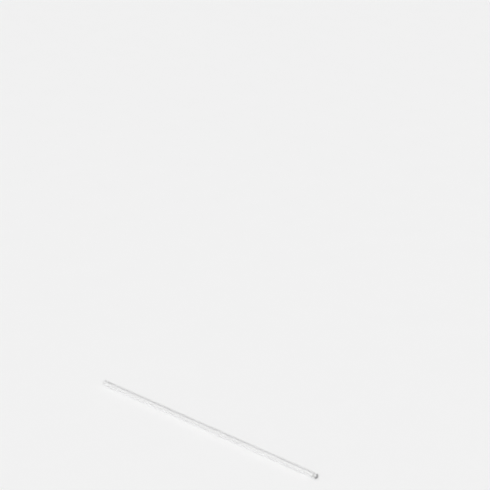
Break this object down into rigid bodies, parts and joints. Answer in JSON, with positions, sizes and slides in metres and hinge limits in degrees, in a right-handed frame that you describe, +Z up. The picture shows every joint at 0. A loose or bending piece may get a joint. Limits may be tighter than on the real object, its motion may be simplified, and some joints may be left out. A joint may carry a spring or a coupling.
{
  "type": "glass capillary tube",
  "caption": "Thin-walled clear glass capillary tube, open at one end and flame-sealed to a small round bead at the other, for holding a packed sample in a heating block.",
  "frame": {"origin": "halfway along the tube, on the surface that its bead rests on", "axes": "+X along the tube from the open mouth to the sealed bead, +Z up"},
  "size_m": [0.1, 0.0018, 0.0018],
  "materials": {
    "clear_glass": "clear, smooth drawn borosilicate glass, fire-polished at the bead and the mouth"
  },
  "bodies": {
    "root": {"capillary_tube": "clear_glass"}
  },
  "joints": []
}
